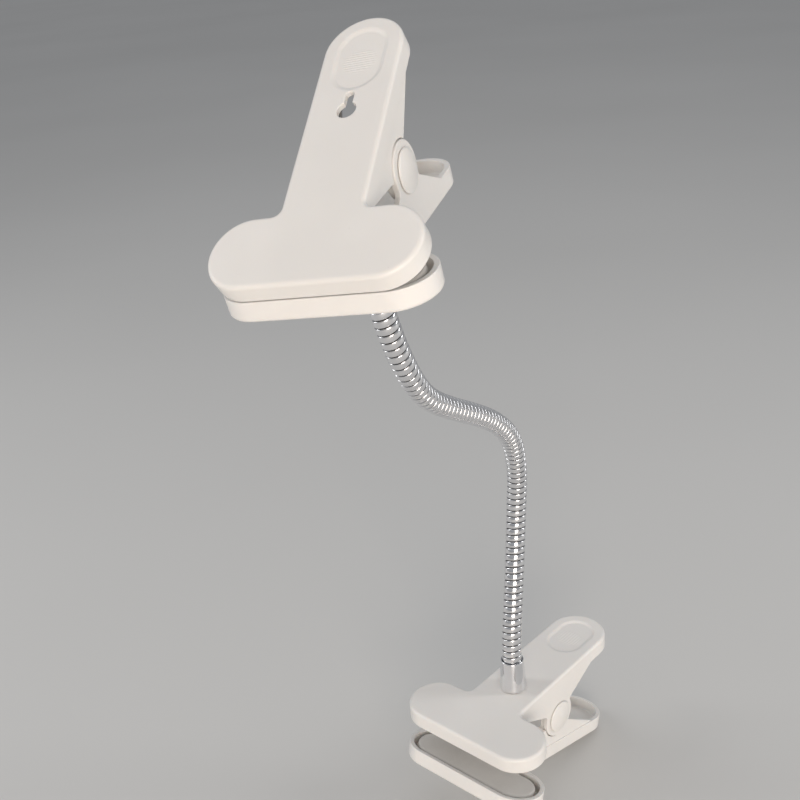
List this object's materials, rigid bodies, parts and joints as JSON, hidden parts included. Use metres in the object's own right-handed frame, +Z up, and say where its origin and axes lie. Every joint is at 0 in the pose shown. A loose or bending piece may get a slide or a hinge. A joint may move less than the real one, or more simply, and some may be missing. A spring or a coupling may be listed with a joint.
{
  "type": "clip holder with flexible neck",
  "caption": "Clip holder: a white spring clip grips a table edge and carries, on a bendable chromed neck, a second spring clip with a hanging keyhole.",
  "frame": {"origin": "middle of the front edge of the base clip's upper rim, on the face that rests on the table", "axes": "+X from the mouth to the handle of the base clip, +Y across it, +Z up out of its upper plate"},
  "size_m": [0.1996, 0.0932, 0.3546],
  "materials": {
    "white_plastic": "smooth moulded, satin gloss",
    "grip_rubber": "soft, matt",
    "chrome": "bright plated",
    "spring_steel": "drawn wire, bright"
  },
  "bodies": {
    "base_clip": {"base_socket_jaw": "white_plastic", "base_socket_grip_facing": "grip_rubber", "base_pivot_pin": "spring_steel", "base_pivot_cap_left": "white_plastic", "base_pivot_cap_right": "white_plastic", "base_torsion_spring": "spring_steel", "base_ferrule": "chrome", "base_neck_washer": "spring_steel", "base_neck_screw": "spring_steel", "neck_length_01": "chrome"},
    "base_lower_jaw": {"base_keyhole_jaw": "white_plastic", "base_keyhole_grip_facing": "grip_rubber"},
    "neck_02": {"neck_length_02": "chrome"},
    "neck_03": {"neck_length_03": "chrome"},
    "neck_04": {"neck_length_04": "chrome"},
    "neck_05": {"neck_length_05": "chrome"},
    "neck_06": {"neck_length_06": "chrome"},
    "neck_07": {"neck_length_07": "chrome"},
    "neck_08": {"neck_length_08": "chrome"},
    "neck_09": {"neck_length_09": "chrome"},
    "neck_10": {"neck_length_10": "chrome"},
    "neck_11": {"neck_length_11": "chrome"},
    "neck_12": {"neck_length_12": "chrome"},
    "top_clip": {"neck_length_13": "chrome", "top_socket_jaw": "white_plastic", "top_socket_grip_facing": "grip_rubber", "top_pivot_pin": "spring_steel", "top_pivot_cap_left": "white_plastic", "top_pivot_cap_right": "white_plastic", "top_torsion_spring": "spring_steel", "top_ferrule": "chrome", "top_neck_washer": "spring_steel", "top_neck_screw": "spring_steel"},
    "top_front_jaw": {"top_keyhole_jaw": "white_plastic", "top_keyhole_grip_facing": "grip_rubber"}
  },
  "joints": [
    {"name": "base_jaw_hinge", "type": "hinge", "parent": "base_clip", "child": "base_lower_jaw", "pos_m": [0.0563, 0, -0.0141], "axis": [0, -1, 0], "range_deg": [-12.3, 33], "stiffness_Nm_per_rad": 0.3, "deforming": ["base_torsion_spring"]},
    {"name": "neck_bend_01", "type": "hinge", "parent": "base_clip", "child": "neck_02", "pos_m": [0.0403, 0, 0.0331], "axis": [-0.0067, 0.9988, -0.0481], "range_deg": [-20, 12]},
    {"name": "neck_bend_02", "type": "hinge", "parent": "neck_02", "child": "neck_03", "pos_m": [0.046, 0.002, 0.053], "axis": [0.9541, 0, -0.2995], "range_deg": [-20, 20]},
    {"name": "neck_bend_03", "type": "hinge", "parent": "neck_03", "child": "neck_04", "pos_m": [0.0525, 0.005, 0.072], "axis": [-0.0346, 0.9925, -0.1173], "range_deg": [-20, 20]},
    {"name": "neck_bend_04", "type": "hinge", "parent": "neck_04", "child": "neck_05", "pos_m": [0.0575, 0.007, 0.092], "axis": [0.9925, 0, -0.1221], "range_deg": [-20, 18]},
    {"name": "neck_bend_05", "type": "hinge", "parent": "neck_05", "child": "neck_06", "pos_m": [0.0575, 0.0055, 0.112], "axis": [-0.0231, 0.9923, 0.122], "range_deg": [-7, 20]},
    {"name": "neck_bend_06", "type": "hinge", "parent": "neck_06", "child": "neck_07", "pos_m": [0.05, 0.002, 0.131], "axis": [0.831, 0, 0.5562], "range_deg": [-20, 20]},
    {"name": "neck_bend_07", "type": "hinge", "parent": "neck_07", "child": "neck_08", "pos_m": [0.0355, -0.001, 0.145], "axis": [-0.1156, 0.9891, 0.0918], "range_deg": [-17, 20]},
    {"name": "neck_bend_08", "type": "hinge", "parent": "neck_08", "child": "neck_09", "pos_m": [0.0185, -0.004, 0.156], "axis": [0.5199, 0, 0.8543], "range_deg": [-20, 20]},
    {"name": "neck_bend_09", "type": "hinge", "parent": "neck_09", "child": "neck_10", "pos_m": [0.001, -0.0065, 0.166], "axis": [-0.1237, 0.9893, 0.077], "range_deg": [-20, 20]},
    {"name": "neck_bend_10", "type": "hinge", "parent": "neck_10", "child": "neck_11", "pos_m": [-0.016, -0.01, 0.1775], "axis": [0.6824, 0, 0.731], "range_deg": [-20, 20]},
    {"name": "neck_bend_11", "type": "hinge", "parent": "neck_11", "child": "neck_12", "pos_m": [-0.0285, -0.0137, 0.1935], "axis": [-0.0558, 0.9939, 0.0946], "range_deg": [-20, 13]},
    {"name": "neck_bend_12", "type": "hinge", "parent": "neck_12", "child": "top_clip", "pos_m": [-0.03676, -0.0145, 0.21281], "axis": [0.956, 0, 0.2935], "range_deg": [-20, 20]},
    {"name": "top_jaw_hinge", "type": "hinge", "parent": "top_clip", "child": "top_front_jaw", "pos_m": [-0.03111, -0.00616, 0.26162], "axis": [-0.3583, 0.9263, -0.1167], "range_deg": [0, 45.3], "stiffness_Nm_per_rad": 0.3, "springref_deg": -20.05, "deforming": ["top_torsion_spring"]}
  ]
}
